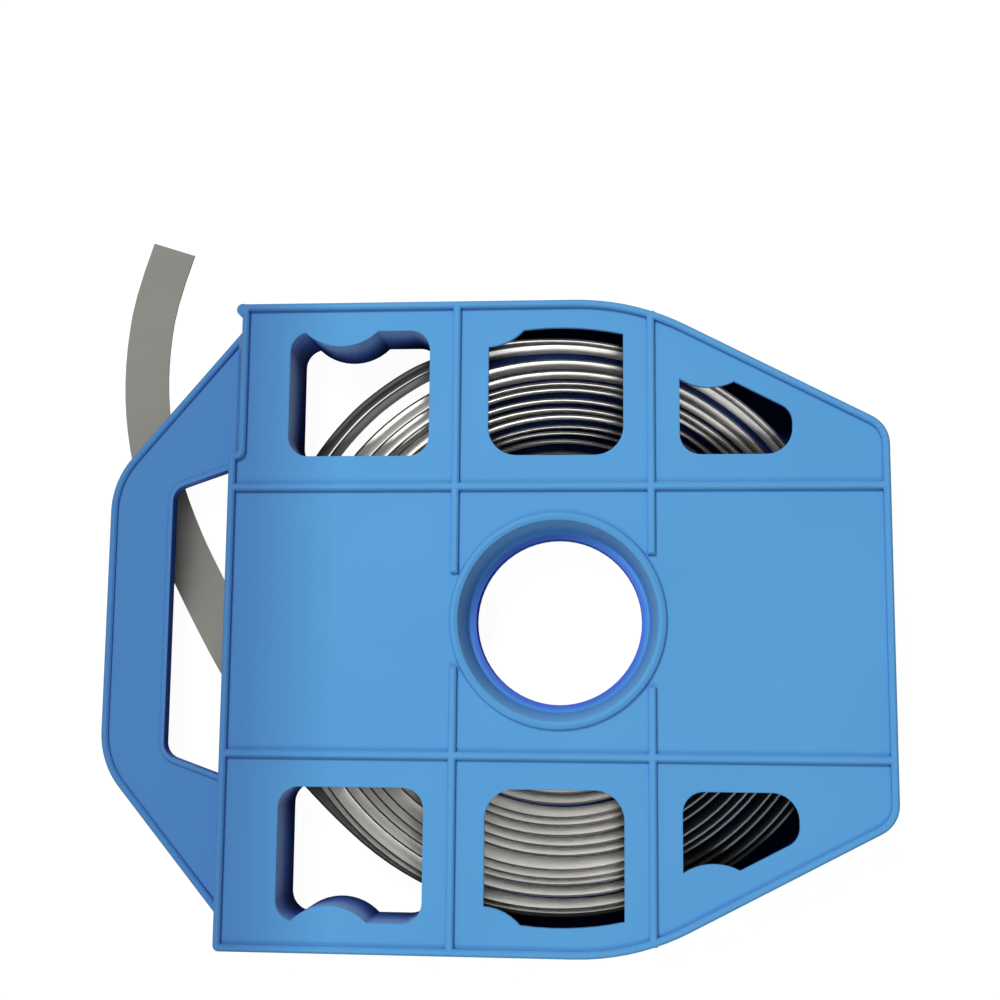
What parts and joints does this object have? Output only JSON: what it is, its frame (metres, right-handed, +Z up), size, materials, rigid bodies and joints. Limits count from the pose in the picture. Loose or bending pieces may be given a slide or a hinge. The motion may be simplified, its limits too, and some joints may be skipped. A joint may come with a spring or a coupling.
{
  "type": "steel strapping band in a tote dispenser",
  "caption": "Coil of stainless steel strapping band in a blue moulded tote case with a carrying handle, its free end led out under the handle.",
  "frame": {"origin": "centre of the hub bore, on the plane where the two halves of the case meet", "axes": "+Z up along the hub axis towards the front face, +X away from the handle, +Y along the face towards the end of the tote that the free end of the band points to"},
  "size_m": [0.3332, 0.3088, 0.038],
  "materials": {
    "case_plastic": "satin moulded polyethylene",
    "band_steel": "cold rolled stainless steel"
  },
  "bodies": {
    "case": {"front_half": "case_plastic", "back_half": "case_plastic", "band_tail": "band_steel"},
    "coil": {"band_coil": "band_steel"}
  },
  "joints": [
    {"name": "coil_turn", "type": "hinge", "parent": "case", "child": "coil", "pos_m": [0, 0, -0.0042], "axis": [0, 0, 1], "continuous": true}
  ]
}
